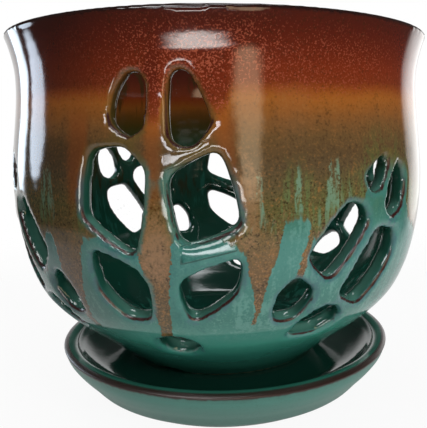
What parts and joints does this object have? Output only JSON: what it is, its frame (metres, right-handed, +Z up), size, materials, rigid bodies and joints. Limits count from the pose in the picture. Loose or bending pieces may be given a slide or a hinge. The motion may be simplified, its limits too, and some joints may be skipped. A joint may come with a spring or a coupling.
{
  "type": "orchid pot",
  "caption": "Round-bellied glazed stoneware orchid pot with leaf-shaped air slots, a flared rim and low drain holes, standing in its loose saucer.",
  "frame": {"origin": "on the pot's axis, level with the saucer's base, which is the middle of the underside of the whole part's box", "axes": "+Z up the pot's axis, -Y towards the front, with the pot's front leaves a little to the left of it, +X to the right seen from the front"},
  "size_m": [0.1786, 0.1784, 0.1533],
  "materials": {
    "pot_glaze": "glossy glaze",
    "saucer_glaze": "glossy glaze"
  },
  "bodies": {
    "saucer": {"saucer": "saucer_glaze"},
    "pot": {"pot": "pot_glaze"}
  },
  "joints": [
    {"name": "pot_lift", "type": "slide", "parent": "saucer", "child": "pot", "axis": [0, 0, 1], "range_m": [0, 0.06]}
  ]
}
